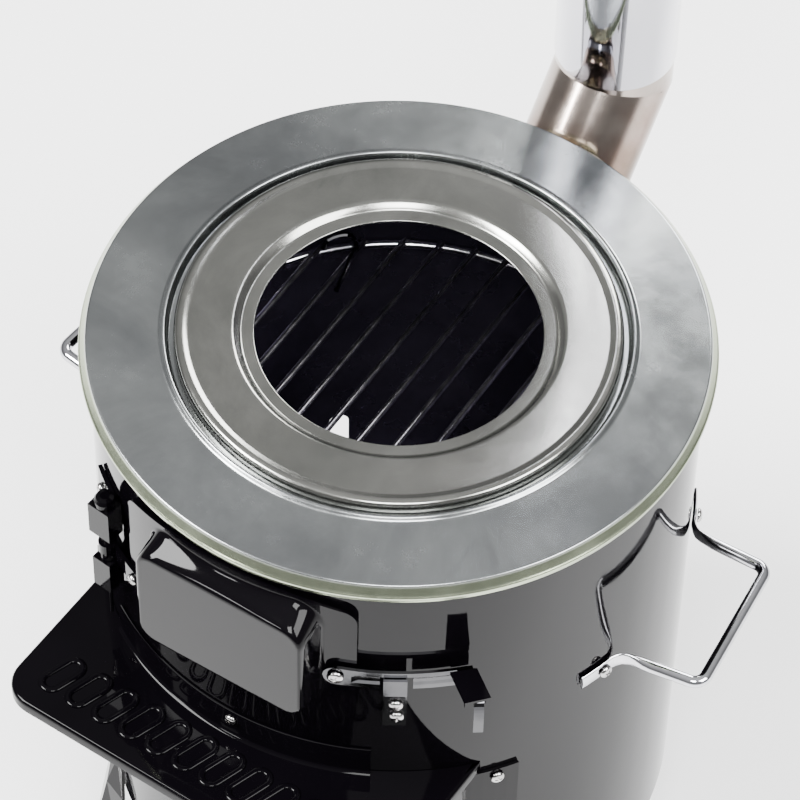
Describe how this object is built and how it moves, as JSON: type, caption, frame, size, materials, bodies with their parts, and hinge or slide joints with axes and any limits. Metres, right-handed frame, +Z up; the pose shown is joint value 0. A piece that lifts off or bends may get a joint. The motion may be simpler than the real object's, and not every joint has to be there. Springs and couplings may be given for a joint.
{
  "type": "portable wood stove",
  "caption": "Round portable steel wood stove with hinged front door, drop latch, front shelf, wire handles, ringed cook top, lift-out grate and rear elbow chimney.",
  "frame": {"origin": "on the floor under the centre of the bounding box", "axes": "+Z up, the door and shelf face -Y, the chimney is at +Y"},
  "size_m": [0.3812, 0.4352, 0.8435],
  "materials": {
    "black_enamel": "high gloss black",
    "chrome_plate": "polished",
    "screw_chrome": "polished",
    "grate_steel": "plated wire",
    "galvanised_steel": "satin galvanised",
    "ring_steel": "satin",
    "heat_tinted_stainless": "bright with straw heat tint",
    "stainless_pipe": "bright polished"
  },
  "bodies": {
    "stove": {"body_shell": "black_enamel", "base_pan": "black_enamel", "hinge_bracket_upper": "black_enamel", "hinge_bracket_lower": "black_enamel", "hinge_pin": "black_enamel", "shelf_plate": "black_enamel", "shelf_bracket_left": "black_enamel", "shelf_bracket_right": "black_enamel", "leg_front_left": "black_enamel", "leg_front_right": "black_enamel", "leg_rear": "black_enamel", "handle_left": "chrome_plate", "handle_right": "chrome_plate", "latch_keeper": "chrome_plate", "flue_flange": "chrome_plate", "hinge_screw_upper": "screw_chrome", "hinge_screw_lower": "screw_chrome", "keeper_screw_upper": "screw_chrome", "keeper_screw_lower": "screw_chrome", "shelf_screw": "screw_chrome", "shelf_bracket_screw_left": "screw_chrome", "shelf_bracket_screw_right": "screw_chrome", "handle_left_screw_front": "screw_chrome", "handle_left_screw_rear": "screw_chrome", "handle_right_screw_front": "screw_chrome", "handle_right_screw_rear": "screw_chrome", "leg_front_left_screw": "screw_chrome", "leg_front_right_screw": "screw_chrome", "leg_rear_screw": "screw_chrome", "flue_flange_screw_1": "screw_chrome", "flue_flange_screw_2": "screw_chrome", "flue_flange_screw_3": "screw_chrome", "flue_flange_screw_4": "screw_chrome", "grate_support_1": "grate_steel", "grate_support_2": "grate_steel", "grate_support_3": "grate_steel", "grate_support_4": "grate_steel"},
    "door": {"door_panel": "black_enamel", "hinge_door_strap": "black_enamel", "hinge_strap_screw": "black_enamel", "latch_pivot_screw": "screw_chrome"},
    "latch": {"latch_lever": "chrome_plate", "latch_tab": "black_enamel"},
    "cook_top": {"top_plate": "galvanised_steel"},
    "centre_ring": {"inner_ring": "ring_steel"},
    "fire_grate": {"grate": "grate_steel", "grate_lug": "chrome_plate"},
    "elbow": {"flue_elbow": "heat_tinted_stainless"},
    "pipe_lower": {"chimney_pipe_lower": "stainless_pipe"},
    "pipe_upper": {"chimney_pipe_upper": "stainless_pipe"}
  },
  "joints": [
    {"name": "door_swing", "type": "hinge", "parent": "stove", "child": "door", "pos_m": [-0.07947, -0.15436, 0.2955], "axis": [0, 0, -1], "range_deg": [0, 110]},
    {"name": "latch_lift", "type": "hinge", "parent": "door", "child": "latch", "pos_m": [0.05707, -0.16406, 0.3115], "axis": [0.373, -0.9278, 0], "range_deg": [0, 25]},
    {"name": "cook_top_lift", "type": "slide", "parent": "stove", "child": "cook_top", "axis": [0, 0, 1], "range_m": [0, 0.12]},
    {"name": "centre_ring_lift", "type": "slide", "parent": "cook_top", "child": "centre_ring", "axis": [0, 0, 1], "range_m": [0, 0.1]},
    {"name": "grate_lift", "type": "slide", "parent": "stove", "child": "fire_grate", "axis": [0, 0, 1], "range_m": [0, 0.06]},
    {"name": "elbow_pull", "type": "slide", "parent": "stove", "child": "elbow", "axis": [-0.0262, 0.9997, 0], "range_m": [0, 0.04]},
    {"name": "pipe_lower_lift", "type": "slide", "parent": "elbow", "child": "pipe_lower", "axis": [0, 0, 1], "range_m": [0, 0.06]},
    {"name": "pipe_upper_lift", "type": "slide", "parent": "pipe_lower", "child": "pipe_upper", "axis": [0, 0, 1], "range_m": [0, 0.05]}
  ]
}
